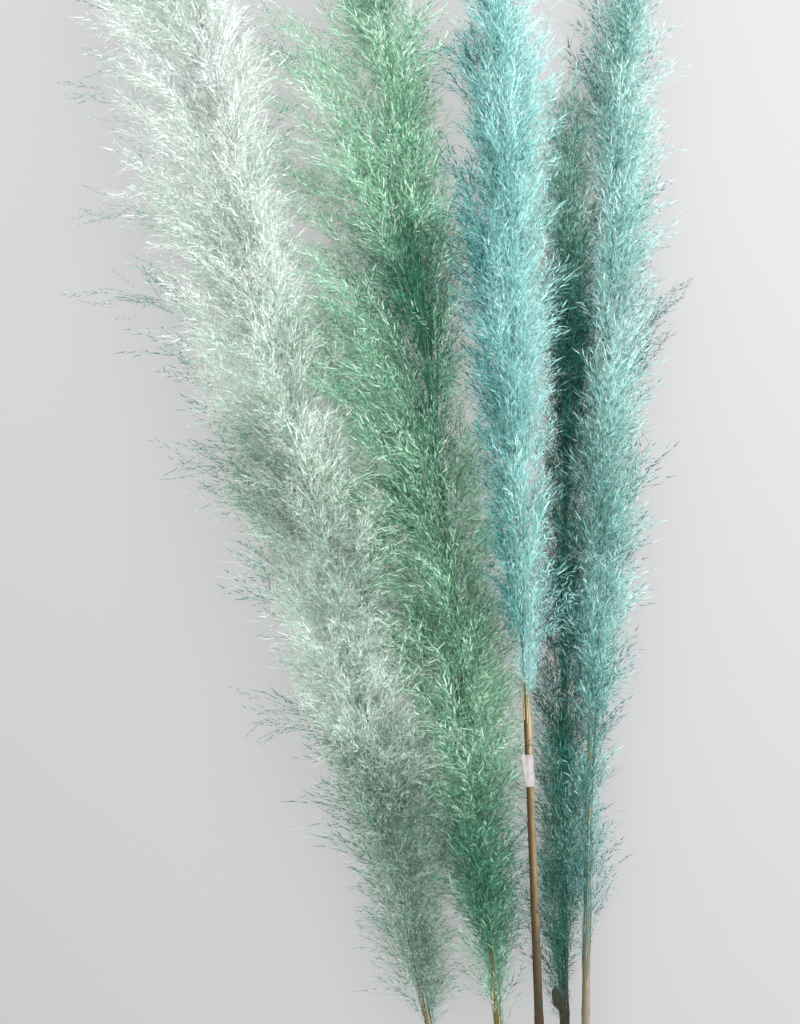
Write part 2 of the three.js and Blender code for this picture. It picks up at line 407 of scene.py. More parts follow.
print(len(cane_materials), "cane finishes, as many for the rachis, and the pith")

# %% [markdown]
# ## The five stems
#
# A cane could be a curve with a round bevel, but its cut end needs a rim and a soft pith. So it
# starts as a circle at the cut, which is extruded ring by ring along the centre line and scaled
# to the radius that the frame gives there. A pampas cane has a faint swelling where each leaf
# grew, so a few rings are a little wider. The cut end is inset and pushed in, and takes the pith
# as its second material. Well inside the plume the cane is dyed, which is its third.

# %% Build the stems
CANE_SIDES = 14
CANE_RINGS = 70
FIRST_JOINT = 0.13  # above the cut end
JOINT_SPACING = 0.21  # between the swellings where leaves grew
JOINT_WIDTH = 0.004
JOINT_SWELL = 0.10  # of the cane's radius
SLIMMER = (0.92, 0.76)  # than the frame's stem, at the cut end and under the plume
RIM_WIDTH, PITH_DEPTH = 0.0007, 0.0012
BROWN_RACHIS = 0.10  # the length of rachis, inside the plume, that the dye didn't reach


def cane_radius(stalk, y):
    plain = np.interp(y, stalk["y"][:-1], stalk["radius"][:-1])
    nearest = (y - stalk["cut"] - FIRST_JOINT) % JOINT_SPACING
    swell = math.exp(-((min(nearest, JOINT_SPACING - nearest) / JOINT_WIDTH) ** 2))
    below = y < stalk["start"]
    slimmer = np.interp(y, (stalk["cut"], stalk["start"]), SLIMMER)
    return float(plain * slimmer * (1.0 + (JOINT_SWELL * swell if below else 0.0)))


def build_stem(stalk):
    heights = np.linspace(stalk["cut"], stalk["rachis_end"], CANE_RINGS)
    extra = [
        stalk["cut"] + FIRST_JOINT + k * JOINT_SPACING + d
        for k in range(2)
        for d in (-0.005, -0.002, 0.0, 0.002, 0.005)
    ]
    heights = np.unique(np.concatenate([heights, [y for y in extra if y < stalk["start"]]]))
    bm = bmesh.new()
    first = Vector(spine_at(stalk, heights[0]))
    upright = Matrix.Translation(first) @ Matrix.Rotation(math.radians(90), 4, "X")
    radius = cane_radius(stalk, heights[0])
    ring = bmesh.ops.create_circle(
        bm, cap_ends=False, segments=CANE_SIDES, radius=radius, matrix=upright
    )["verts"]
    edges = list({edge for vert in ring for edge in vert.link_edges})
    cut_edges, at = list(edges), first
    for y in heights[1:]:
        grown = bmesh.ops.extrude_edge_only(bm, edges=edges)["geom"]
        verts = [g for g in grown if isinstance(g, bmesh.types.BMVert)]
        edges = [
            g for g in grown if isinstance(g, bmesh.types.BMEdge) and all(v in verts for v in g.verts)
        ]
        goal, wide = Vector(spine_at(stalk, y)), cane_radius(stalk, y)
        bmesh.ops.translate(bm, verts=verts, vec=goal - at)
        bmesh.ops.scale(
            bm, verts=verts, vec=(wide / radius, 1.0, wide / radius), space=Matrix.Translation(-goal)
        )
        at, radius = goal, wide
    bmesh.ops.edgeloop_fill(bm, edges=edges)
    end = bmesh.ops.edgeloop_fill(bm, edges=cut_edges)["faces"]
    bmesh.ops.inset_region(bm, faces=end, thickness=RIM_WIDTH, depth=0.0)
    bmesh.ops.inset_region(bm, faces=end, thickness=0.0002, depth=-PITH_DEPTH)
    bmesh.ops.recalc_face_normals(bm, faces=bm.faces)
    # painted shade: each cane's colour is darker towards its left side
    painted_shade = bm.verts.layers.float.new(PAINTED_SHADE)
    for vert in bm.verts:
        side = (vert.co.x - spine_at(stalk, vert.co.y)[0]) / cane_radius(stalk, vert.co.y)
        vert[painted_shade] = min(max((0.3 - side) / 0.5, 0.0), 1.0)
    for face in end:
        face.material_index = 1
    for face in bm.faces:
        face.smooth = len(face.verts) == 4
        if face.calc_center_median().y > stalk["start"] + BROWN_RACHIS:
            face.material_index = 2
    mesh = bpy.data.meshes.new(f"{stalk['name']}_cane")
    bm.to_mesh(mesh)
    bm.free()
    return mesh


for name, stalk in stalks.items():
    finish_piece(
        f"{name}_cane", build_stem(stalk), [cane_materials[name], pith, rachis_materials[name]],
        f"{name}_stem",
    )

# %% [markdown]
# ## The tape and the dry leaf
#
# One stem wears a turn of white paper tape whose loose corner stands out to the side. Another is
# still wrapped in its lowest leaf: a dark dry sheath, ribbed along its length, open down one side
# where its edges overlap, and torn at the mouth, where a short flap of it stands out. Both are
# flat sheets in real life. So each
# starts as a flat grid, and every point of it is rolled round the stem by its place on the
# sheet: one way is how far round it goes, the other is its height. The radius grows a little on
# the way round, so the layers lie on each other. Solidify then gives the sheet its thickness.

# %% Rolling a sheet round a stem
def rolled(stalk, y, angle, radius):
    middle = Vector(spine_at(stalk, y))
    return middle + Vector((math.cos(angle), 0.0, math.sin(angle))) * radius


def flat_sheet(across, along):
    bm = bmesh.new()
    bmesh.ops.create_grid(bm, x_segments=across, y_segments=along, size=0.5)
    return bm


def finish_sheet(bm, name, thickness):
    bmesh.ops.recalc_face_normals(bm, faces=bm.faces[:])
    bmesh.ops.solidify(bm, geom=bm.faces[:], thickness=thickness)
    bmesh.ops.recalc_face_normals(bm, faces=bm.faces[:])
    for face in bm.faces:
        face.smooth = True
    mesh = bpy.data.meshes.new(name)
    bm.to_mesh(mesh)
    bm.free()
    print(name, "is", len(mesh.polygons), "faces")
    return mesh


# %% Paper tape
PAPER = 0.00016
TAPE_START, TAPE_END = math.radians(-285), math.radians(122)  # the angles that the turn covers
TURN_SHARE = 0.78  # of the strip; the rest is the loose corner
CORNER_LENGTH = 0.0042


def wind_tape(stalk, solid):
    low, high = solid[:, 1].min(), solid[:, 1].max()
    bm = flat_sheet(44, 10)
    for vert in bm.verts:
        u, v = vert.co.x + 0.5, vert.co.y + 0.5
        y = low + (high - low) * v
        turn = min(u / TURN_SHARE, 1.0)
        radius = cane_radius(stalk, y) + 0.0002 + 0.0003 * turn
        radius += 0.00006 * math.sin(9 * turn + 5 * v)
        angle = TAPE_START + (TAPE_END - TAPE_START) * turn
        vert.co = rolled(stalk, y, angle, radius)
        loose = max(u - TURN_SHARE, 0.0) / (1.0 - TURN_SHARE)
        run = CORNER_LENGTH * loose * (0.12 + 0.88 * v**0.8)
        vert.co += Vector((-math.sin(angle), 0.0, math.cos(angle) + 0.9 * loose * v)) * run
    return finish_sheet(bm, "paper_tape", PAPER)


# %% Paper
def paper_material():
    material, shader = plain_material("white_paper", (0.31, 0.288, 0.282), 0.75)
    tree = material.node_tree
    place = put(tree, "ShaderNodeTexCoord")
    fibres = put(tree, "ShaderNodeTexNoise")
    fibres.inputs["Scale"].default_value = 2600.0
    fibres.inputs["Detail"].default_value = 3.0
    # random patches where the paper is a little greyer
    grey_patches = put(tree, "ShaderNodeTexNoise")
    grey_patches.inputs["Scale"].default_value = 190.0
    greying = put(tree, "ShaderNodeMapRange")
    greying.inputs["From Min"].default_value = 0.45
    greying.inputs["From Max"].default_value = 0.75
    colour = put(tree, "ShaderNodeMix", data_type="RGBA")
    colour.inputs["A"].default_value = (0.31, 0.288, 0.282, 1.0)
    colour.inputs["B"].default_value = (0.21, 0.196, 0.196, 1.0)
    relief = put(tree, "ShaderNodeBump")
    relief.inputs["Strength"].default_value = 0.25
    relief.inputs["Distance"].default_value = 0.0001
    links = tree.links
    links.new(place.outputs["Object"], fibres.inputs["Vector"])
    links.new(place.outputs["Object"], grey_patches.inputs["Vector"])
    links.new(grey_patches.outputs["Fac"], greying.inputs["Value"])
    links.new(greying.outputs["Result"], colour.inputs["Factor"])
    links.new(colour.outputs["Result"], shader.inputs["Base Color"])
    links.new(fibres.outputs["Fac"], relief.inputs["Height"])
    links.new(relief.outputs["Normal"], shader.inputs["Normal"])
    return material


finish_piece(
    "paper_tape", wind_tape(stalks["aqua"], points_of("stem_tape")), [paper_material()],
    "stem_tape",
)

# %% Dry leaf sheath
LEAF = 0.0003
SHEATH_START, SHEATH_TURN = math.radians(30), math.radians(425)
FLAP_FROM = 0.86  # the share of the sheet's width where its loose part begins
FLAP_LENGTH, FLAP_WIDTH = 0.018, 0.0084


def wrap_sheath(stalk, solid):
    low, high = solid[:, 1].min() + 0.0004, solid[:, 1].max() - 0.0004
    bm = flat_sheet(52, 60)
    for vert in bm.verts:
        u, v = vert.co.x + 0.5, vert.co.y + 0.5
        turn = min(u / FLAP_FROM, 1.0)
        loose = max(u - FLAP_FROM, 0.0) / (1.0 - FLAP_FROM)
        y = low + (high - low) * v
        torn = 0.013 + 0.004 * math.sin(19 * u) + 0.002 * math.sin(47 * u + 2)
        whole = min(max((u - FLAP_FROM + 0.05) / 0.05, 0.0), 1.0)
        torn = torn * (1.0 - whole) + (0.0016 + 0.0014 * math.sin(90 * u)) * whole
        y -= torn * max(v - 0.9, 0.0) / 0.1
        mouth = min(max((y - (high - FLAP_LENGTH)) / 0.005, 0.0), 1.0)
        angle = SHEATH_START + SHEATH_TURN * turn + math.radians(30) * loose * (1.0 - mouth)
        radius = cane_radius(stalk, y) + 0.0004 + 0.0005 * u
        radius += 0.00007 * math.sin(26 * angle) + 0.00015 * math.sin(40 * v + 3 * u)
        vert.co = rolled(stalk, y, angle, radius)
        run = FLAP_WIDTH * loose * mouth * (0.94 + 0.05 * math.sin(110 * v))
        vert.co += Vector((-math.sin(angle), 0.0, math.cos(angle) + 0.3 * loose)) * run
    return finish_sheet(bm, "leaf_sheath", LEAF)


dry_leaf = fibre_material(
    "dry_leaf", (0.034, 0.028, 0.020), (0.006, 0.005, 0.003), (0.01, 0.03, 0.025), 0.6, 0.4, 0.6
)
finish_piece(
    "dry_sheath", wrap_sheath(stalks["teal"], points_of("leaf_sheath")), [dry_leaf],
    "leaf_sheath",
)

# %% [markdown]
# ## Spikelets, silk and tufts
#
# A spikelet is a dry husk a few millimetres long, with a fringe of silky hairs that are finer
# still. A plume has tens of thousands of both. Each is made as the smallest closed shape that
# still catches the light: a three-sided needle of four faces, stout for a husk and very thin for
# a hair. A tuft is the tip of a branchlet with its husks and hairs around it. A few different
# tufts are modelled with cones, and the plumes are made of bent and turned copies of them.
#
# Each needle also gets its place on a small colour chart, in a UV map. Along U the chart runs
# from the deep colour inside a plume, which is painted shade, to the pale colour of its surface,
# and along V from one tint of the dye to another. So a whole plume needs only two materials, one
# for its silk and one for its husks, and every hair has its own tone. The last fifth of V stands
# for bare straw.

# %% Needles
CHART = "OFBake"
HAIR, HUSK = 0, 1  # the two materials of a plume
random = np.random.default_rng(7)


def paint(faces, layer, origin, direction, length, root, tip):
    """Gives each corner its place on the chart, by how far it is along the needle."""
    for face in faces:
        for loop in face.loops:
            share = min(max((loop.vert.co - origin) @ direction / length, 0.0), 1.0)
            side = 0.0 if share > 0.5 else (loop.vert.index % 3 - 1) * 0.012
            loop[layer].uv = (root + (tip - root) * share, side)


def add_needle(bm, layer, stuff, origin, direction, length, radius, root, tip):
    turn = direction.to_track_quat("Z", "Y").to_matrix().to_4x4()
    roll = Matrix.Rotation(random.uniform(0, 2 * math.pi), 4, "Z")
    place = Matrix.Translation(origin + direction * (length / 2)) @ turn @ roll
    verts = bmesh.ops.create_cone(
        bm, cap_ends=True, cap_tris=False, segments=3,
        radius1=radius, radius2=radius * 0.1, depth=length, matrix=place,
    )["verts"]
    top = [v for v in verts if (v.co - origin) @ direction > length / 2]
    bmesh.ops.pointmerge(bm, verts=top, merge_co=origin + direction * length)
    verts = [v for v in verts if v.is_valid]
    bm.verts.index_update()
    faces = list({face for vert in verts for face in vert.link_faces})
    for face in faces:
        face.material_index = stuff
    paint(faces, layer, origin, direction, length, root, tip)


# %% Tufts
TUFT_LENGTH = 0.024
KINDS = {"downy": (8, 5, 25), "mixed": (8, 11, 18), "thin": (5, 8, 2)}  # how many, husks, hairs
UP = Vector((0, 1, 0))


def add_fringe(bm, layer, stuff, count, lengths, radii, leans, offset, shades):
    """Needles around a branchlet that runs along +Y, each leaning out of it."""
    for k in range(count):
        along = (k + random.uniform(0.1, 0.9)) / count
        turn = random.uniform(0, 2 * math.pi)
        lean = math.radians(random.uniform(*leans))
        sideways = Vector((math.cos(turn), 0.0, math.sin(turn)))
        direction = (UP * math.cos(lean) + sideways * math.sin(lean)).normalized()
        origin = UP * (TUFT_LENGTH * along) + sideways * (offset * random.uniform(0.0, 1.0))
        shade = random.normal(shades[0], shades[1])
        add_needle(
            bm, layer, stuff, origin, direction, random.uniform(*lengths), random.uniform(*radii),
            shade - 0.06, shade + 0.10,
        )


def model_tuft(kind, husks, hairs):
    """The end of one branchlet with its husks and hairs, as a bare mesh."""
    bm = bmesh.new()
    layer = bm.loops.layers.uv.new(CHART)
    add_needle(bm, layer, HUSK, Vector(), UP, TUFT_LENGTH * 1.1, 0.00014, -0.1, 0.0)
    add_fringe(
        bm, layer, HUSK, husks, (0.0034, 0.0058), (0.00032, 0.00048), (10, 48), 0.0025, (0.14, 0.14)
    )
    add_fringe(
        bm, layer, HAIR, hairs, (0.0045, 0.0090), (0.00012, 0.00019), (10, 85), 0.006, (-0.06, 0.05)
    )
    mesh = bpy.data.meshes.new(f"tuft_{kind}")
    bm.to_mesh(mesh)
    bm.free()
    return mesh


def as_arrays(mesh):
    """A mesh's points, its triangles, their places on the chart and their materials."""
    mesh.calc_loop_triangles()
    points = np.empty(len(mesh.vertices) * 3)
    mesh.vertices.foreach_get("co", points)
    corners = np.empty(len(mesh.loop_triangles) * 3, np.int32)
    mesh.loop_triangles.foreach_get("vertices", corners)
    loops = np.empty(len(mesh.loop_triangles) * 3, np.int32)
    mesh.loop_triangles.foreach_get("loops", loops)
    stuff = np.empty(len(mesh.loop_triangles), np.int32)
    mesh.loop_triangles.foreach_get("material_index", stuff)
    chart = np.empty(len(mesh.loops) * 2)
    mesh.uv_layers[CHART].data.foreach_get("uv", chart)
    return points.reshape(-1, 3), corners.reshape(-1, 3), chart.reshape(-1, 2)[loops], stuff


tufts, first_of = [], {}
for sort, (kinds, husks, hairs) in KINDS.items():
    first_of[sort] = len(tufts)
    tufts += [as_arrays(model_tuft(kind, husks, hairs)) for kind in range(kinds)]
    print(kinds, sort, "tufts of", len(tufts[-1][1]), "triangles")

# %% A strand, for the bare part of a branch
STRAND_STEPS = 9


def model_strand():
    """A needle of length 1 and radius 1 along +Y, cut across so that it can bend."""
    bm = bmesh.new()
    layer = bm.loops.layers.uv.new(CHART)
    add_needle(bm, layer, HUSK, Vector(), UP, 1.0, 1.0, -0.25, 0.0)
    for k in range(1, STRAND_STEPS):
        everything = bm.verts[:] + bm.edges[:] + bm.faces[:]
        bmesh.ops.bisect_plane(
            bm, geom=everything, dist=1e-6, plane_co=UP * (k / STRAND_STEPS), plane_no=UP
        )
    bmesh.ops.triangulate(bm, faces=bm.faces[:])
    mesh = bpy.data.meshes.new("strand")
    bm.to_mesh(mesh)
    bm.free()
    return mesh


strand = as_arrays(model_strand())
print("a strand of", len(strand[1]), "triangles")

# %% [markdown]
# ## Plume dye
#
# The dye lies unevenly: pale at the hairs' ends, and here and there a little bluer or greyer. The
# deep, saturated colour inside the plume is painted shade. The group below reads the colour chart
# and mixes four colours. Dry pampas hair is silky and lets light through, so the silk has a soft
# sheen and a clear depth, made with subsurface scattering. The husks are opaque, with colours of
# their own.

# %% Shader group: dyed hair
STRAW_LINE = 0.8  # past this place along V the dye gives way to bare straw


def dyed_hair_group():
    tree = bpy.data.node_groups.new("dyed_hair", "ShaderNodeTree")
    socket(tree, "NodeSocketFloat", "Tone", "INPUT", 0.5)
    socket(tree, "NodeSocketFloat", "Drift", "INPUT", 0.5)
    socket(tree, "NodeSocketColor", "Deep", "INPUT", (0.1, 0.3, 0.2, 1.0))
    socket(tree, "NodeSocketColor", "Body", "INPUT", (0.3, 0.5, 0.4, 1.0))
    socket(tree, "NodeSocketColor", "Pale", "INPUT", (0.7, 0.8, 0.7, 1.0))
    socket(tree, "NodeSocketColor", "Drift Tint", "INPUT", (0.9, 1.0, 1.0, 1.0))
    socket(tree, "NodeSocketColor", "Straw", "INPUT", (0.62, 0.48, 0.28, 1.0))
    socket(tree, "NodeSocketColor", "Color", "OUTPUT")
    ins, outs = put(tree, "NodeGroupInput"), put(tree, "NodeGroupOutput")
    links = tree.links
    lower = put(tree, "ShaderNodeMapRange")
    lower.inputs["From Max"].default_value = 0.5
    upper = put(tree, "ShaderNodeMapRange")
    upper.inputs["From Min"].default_value = 0.5
    first = put(tree, "ShaderNodeMix", data_type="RGBA")
    second = put(tree, "ShaderNodeMix", data_type="RGBA")
    tint = put(tree, "ShaderNodeMix", data_type="RGBA", blend_type="MULTIPLY")
    bare = put(tree, "ShaderNodeMapRange")
    bare.inputs["From Min"].default_value = STRAW_LINE
    undyed = put(tree, "ShaderNodeMix", data_type="RGBA")
    links.new(ins.outputs["Tone"], lower.inputs["Value"])
    links.new(ins.outputs["Tone"], upper.inputs["Value"])
    links.new(lower.outputs["Result"], first.inputs["Factor"])
    links.new(ins.outputs["Deep"], first.inputs["A"])
    links.new(ins.outputs["Body"], first.inputs["B"])
    links.new(upper.outputs["Result"], second.inputs["Factor"])
    links.new(first.outputs["Result"], second.inputs["A"])
    links.new(ins.outputs["Pale"], second.inputs["B"])
    links.new(ins.outputs["Drift"], tint.inputs["Factor"])
    links.new(second.outputs["Result"], tint.inputs["A"])
    links.new(ins.outputs["Drift Tint"], tint.inputs["B"])
    links.new(ins.outputs["Drift"], bare.inputs["Value"])
    links.new(bare.outputs["Result"], undyed.inputs["Factor"])
    links.new(tint.outputs["Result"], undyed.inputs["A"])
    links.new(ins.outputs["Straw"], undyed.inputs["B"])
    links.new(undyed.outputs["Result"], outs.inputs["Color"])
    return tree


dyed_hair = dyed_hair_group()


def plume_material(name, dye, clear):
    """The silk with a clear depth, or the husks with none."""
    deep, body, pale, drift = dye
    material, shader = plain_material(name, body, 0.62)
    tree = material.node_tree
    chart = put(tree, "ShaderNodeUVMap", uv_map=CHART)
    split = put(tree, "ShaderNodeSeparateXYZ")
    group = put(tree, "ShaderNodeGroup", node_tree=dyed_hair)
    tree.links.new(chart.outputs["UV"], split.inputs["Vector"])
    tree.links.new(split.outputs["X"], group.inputs["Tone"])
    tree.links.new(split.outputs["Y"], group.inputs["Drift"])
    for key, colour in (("Deep", deep), ("Body", body), ("Pale", pale), ("Drift Tint", drift)):
        group.inputs[key].default_value = (*colour, 1.0)
    tree.links.new(group.outputs["Color"], shader.inputs["Base Color"])
    shader.inputs["Specular IOR Level"].default_value = 0.15
    if clear:
        shader.inputs["Sheen Weight"].default_value = 0.08
        shader.inputs["Sheen Roughness"].default_value = 0.4
        shader.inputs["Subsurface Weight"].default_value = 1.0
        shader.inputs["Subsurface Radius"].default_value = (1.0, 1.0, 1.0)
        shader.inputs["Subsurface Scale"].default_value = clear
    return material


# %% [markdown]
# ## Growing the plumes
#
# Branches leave the rachis at a sharp angle, run up beside it, and curve outwards until they nod
# at the plume's surface. Tufts sit along the outer part of each branch, so the surface is soft
# and the inside is thinner. A plume is grown in the same order: first the lines of its branches,
# inside the room that the frame gives, then a thin strand along each, and then the tufts. An
# Array and a Curve modifier would bend copies along one branch. With hundreds of branches it is
# quicker to place all the copies at once, as arrays of points.

# %% Lines of the branches
TUFT_REACH = 0.008  # a tuft stands out this far past its branch
FLOOR_GAP = 0.0006
CEILING = 0.092
EDGE = 0.182  # branches end within this distance of the middle, to each side
SIDE = 0.207  # and hair beyond this distance is pressed in
SPUR_BRANCHES = 3
SPILL_AT = (0.0, 0.15, 0.3, 0.5, 0.7, 1.0)  # the shares of a plume's height that the spills are for


def side_reach(stalk, y, habit):
    """How far the plume reaches to the left and to the right at these heights."""
    share = (y - stalk["start"]) / (stalk["tip"] - stalk["start"])
    slim = 0.5 + 0.5 * np.clip((y - stalk["start"]) / habit["slow"], 0.0, 1.0)
    reaches = []
    for side in ("left", "right"):
        plain = np.interp(y, stalk["ring_y"], stalk[side])
        spill = np.interp(share, SPILL_AT, habit[f"spill_{side}"])
        reaches.append(np.maximum((plain + spill) * slim, habit["neck"]))
    return reaches


def branch_lines(stalk, count, rng, habit):
    """For each branch, its start and end heights, its direction round the rachis and its reach."""
    length = stalk["tip"] - stalk["start"]
    ends = stalk["start"] + length * np.linspace(-0.01, 1.0, 400)
    wide = sum(side_reach(stalk, ends, habit))
    weight = (wide + 0.012) * np.clip((ends - stalk["start"]) / habit["slow"], habit["foot"], 1.0)
    weight /= weight.sum()
    y1 = rng.choice(ends, count, p=weight) + rng.normal(0, 0.003, count)
    y1 = np.clip(y1, stalk["start"] - 0.004, stalk["tip"] - 0.02)
    left, right = side_reach(stalk, y1, habit)
    to_left = rng.random(count) < left / (left + right)
    turn = rng.uniform(math.radians(-45), math.radians(110), count)
    side = np.where(to_left, -np.cos(turn), np.cos(turn))
    slim = np.clip((y1 - stalk["start"]) / habit["slow"], 0.0, 1.0)
    reach = np.where(to_left, left, right)
    tall = np.maximum(np.interp(y1, stalk["ring_y"], stalk["tall"]) * (0.5 + 0.5 * slim), 0.004)
    depth = 1.12 * rng.random(count) ** habit["hollow"]
    stray = (rng.random(count) < habit["strays"]) & (np.abs(side) > 0.5)
    depth[stray] = rng.uniform(1.2, 1.6, stray.sum())
    shrink = np.maximum(1.0 - TUFT_REACH / np.maximum(reach, 1e-4), 0.35)
    lift = np.maximum(1.0 - 0.010 / np.maximum(tall, 1e-4), 0.4)
    out_x = side * reach * depth * shrink
    out_z = np.sin(turn) * tall * np.minimum(depth, 1.0) * lift
    middle = np.interp(y1, stalk["y"], stalk["x"])
    out_x = np.clip(out_x, -EDGE - middle, EDGE - middle)
    run = habit["run"] * rng.uniform(0.7, 1.2, count) + 1.5 * np.hypot(out_x, out_z)
    y0 = np.maximum(y1 - run, stalk["start"] - rng.uniform(*habit["sink"], count))
    lines = {
        "y0": y0, "y1": y1, "out_x": out_x, "out_z": out_z, "depth": depth,
        "slim": slim, "stray": stray,
    }
    for low, high, reach in habit["spurs"]:
        add_spur(lines, stalk, rng, low, high, reach)
    return lines


def add_spur(lines, stalk, rng, low, high, reach):
    """A few branches that leave the plume together, between two shares of its height."""
    length, some = stalk["tip"] - stalk["start"], SPUR_BRANCHES
    reaches = reach * rng.uniform(0.8, 1.0, some)
    spur = {
        "y0": stalk["start"] + length * low + rng.normal(0, 0.004, some),
        "y1": stalk["start"] + length * high + rng.normal(0, 0.008, some),
        "out_x": reaches, "out_z": rng.uniform(0.0, 0.006, some),
        "depth": np.full(some, 1.5), "slim": np.ones(some), "stray": np.ones(some, bool),
    }
    for key, values in spur.items():
        lines[key] = np.append(lines[key], values)


def along_branch(stalk, lines, pick, s, nod):
    """Points on the picked branches at shares s of their length."""
    y0, y1 = lines["y0"][pick], lines["y1"][pick]
    drop = nod * np.abs(lines["out_x"][pick])
    y = y0 + (y1 - y0) * s + drop * (s - s**3) * 1.2
    middle = spine_at(stalk, y)
    swing = s**1.7
    outward = unit(np.stack([lines["out_x"][pick], lines["out_z"][pick]], axis=1))
    skin = np.interp(y, stalk["y"], stalk["radius"]) * 0.8
    middle[:, 0] += lines["out_x"][pick] * swing + outward[:, 0] * skin
    middle[:, 2] += lines["out_z"][pick] * swing + outward[:, 1] * skin
    return middle


def unit(vectors):
    return vectors / np.maximum(np.linalg.norm(vectors, axis=1, keepdims=True), 1e-12)


def patches(points, rng, size):
    """A slow, uneven pattern over a plume, between about -1 and 1."""
    total = np.zeros(len(points))
    for _ in range(6):
        wave = unit(rng.normal(0, 1, (1, 3)))[0] * (2 * math.pi / (size * rng.uniform(0.6, 1.8)))
        total += np.sin(points @ wave + rng.uniform(0, 2 * math.pi))
    return total / 3.0


# %% [markdown]
# ## Placing the tufts
#
# On a real plume the branchlets sit on the outer part of each branch and lean every way. Each tuft
# gets a start on its branch, three axes that turn it, a size, a bend and a place on the colour
# chart. It is painted darker inside the plume and at its rim, as shade, and its tone wanders slowly
# from place to place. At the plume's edge some tufts are thin ones, so the outline frays.

# %% Tufts along the branches
def tuft_places(stalk, lines, per_branch, rng, habit):
    """Where each tuft starts, its axes, size and bend, its place on the chart and if it is thin."""
    branches = len(lines["y0"])
    pick = np.repeat(np.arange(branches), per_branch)
    s = np.tile(np.linspace(habit["bare"], 1.0, per_branch), branches)
    kept = ~lines["stray"][pick] | (rng.random(len(pick)) < 0.5)
    pick, s = pick[kept], s[kept]
    s = np.clip(s + rng.uniform(-0.04, 0.03, len(s)), 0.05, 1.0)
    nod = habit["nod"]
    start = along_branch(stalk, lines, pick, s, nod)
    ahead = unit(along_branch(stalk, lines, pick, s + 0.04, nod) - start)
    outward = np.stack([lines["out_x"][pick], np.zeros(len(pick)), lines["out_z"][pick]], axis=1)
    outward = unit(outward)
    scatter = rng.normal(0, 1, (len(pick), 3))
    scatter -= ahead * (scatter * ahead).sum(axis=1, keepdims=True)
    scatter = unit(scatter)
    start += scatter * rng.uniform(0.0, habit["loose"], (len(pick), 1))
    lean = rng.uniform(0.1, habit["lean"], (len(pick), 1))
    axis = unit(ahead + scatter * lean + outward * habit["flare"] * s[:, None])
    cross = unit(np.cross(axis, unit(rng.normal(0, 1, axis.shape))))
    third = np.cross(axis, cross)
    size = rng.uniform(0.7, 1.25, len(pick)) * habit["tuft"] * (0.6 + 0.4 * lines["slim"][pick])
    bend = outward * rng.uniform(-0.1, 0.45, (len(pick), 1))
    bend[:, 1] -= rng.uniform(0.0, 0.5, len(pick)) * habit["nod"]
    bend += rng.normal(0, 0.16, bend.shape)
    radial = lines["depth"][pick] * s**1.7
    share = (start[:, 1] - stalk["start"]) / (stalk["tip"] - stalk["start"])
    left, right = side_reach(stalk, start[:, 1], habit)
    offset = start[:, 0] - spine_at(stalk, start[:, 1])[:, 0]
    rim = np.clip((np.abs(offset) / np.where(offset < 0, left, right) - 0.5) / 0.35, 0, 1)
    tone = np.interp(share, (0.0, 0.2, 0.6, 1.0), habit["tone"])
    # painted shade: tufts deep inside the plume and near its rim get a darker tone
    tone += 0.3 * (np.minimum(radial, 0.8) - 0.5) - habit["rim"] * rim
    aside = offset / np.where(offset < 0, left, right)
    # painted shade and painted light: one side of a plume is made darker, and sometimes the other paler,
    # as the light falls
    tone += np.interp(aside, (-0.6, -0.15, 0.15, 0.6), (habit["sides"][0], 0, 0, habit["sides"][1]))
    tone += rng.normal(0, habit["clumps"], branches)[pick] + rng.normal(0, 0.05, len(pick))
    tone += habit["patches"] * patches(start, rng, 0.11)
    # painted shade and painted light: soft ovals where the tone is set darker or paler, such as the dark
    # middle of the sage plume, the lifted middle of the mint plume and darker patches on the mint plume
    for high, side, tall, wide, change in habit["blotches"]:
        tone += change * np.exp(-(((share - high) / tall) ** 2) - ((aside - side) / wide) ** 2)
    drift = 0.4 + 0.16 * patches(start, rng, 0.16) + rng.normal(0, 0.1, len(pick))
    size = np.where(lines["stray"][pick], 0.7 * size, size)
    low, high, half = habit["parting"]
    stays = (share < low) | (share > high) | (np.abs(offset) > half)
    stays |= (start[:, 2] < spine_at(stalk, start[:, 1])[:, 2]) | (rng.random(len(pick)) < 0.5)
    frays = np.where(offset < 0, habit["frays"][0], habit["frays"][1])
    thin = (rim * frays > rng.uniform(0.15, 0.7, len(rim))) | lines["stray"][pick]
    tone -= habit["flecks"] * thin
    picked = [start, np.stack([cross, axis, third], axis=1), size, bend, tone, drift, thin]
    return [each[stays] for each in picked]


def in_bounds(points):
    """Folds back what hangs below the floor, stands too high or reaches too far to a side."""
    low = points[..., 2] < FLOOR_GAP
    points[..., 2][low] = FLOOR_GAP + (FLOOR_GAP - points[..., 2][low]) * 0.12
    high = points[..., 2] > CEILING
    points[..., 2][high] = CEILING + (points[..., 2][high] - CEILING) * 0.12
    beyond = np.maximum(np.abs(points[..., 0]) - SIDE, 0.0)
    points[..., 0] -= np.sign(points[..., 0]) * 0.88 * beyond
    return points


def shaded(chart, tone, drift, contrast=1.0):
    shades = np.repeat(chart[None], len(tone), axis=0)
    shades[..., 0] = shades[..., 0] * contrast + tone[:, None]
    shades[..., 1] = np.minimum(shades[..., 1] + drift[:, None], STRAW_LINE - 0.02)
    return np.clip(shades, 0.01, 0.99)


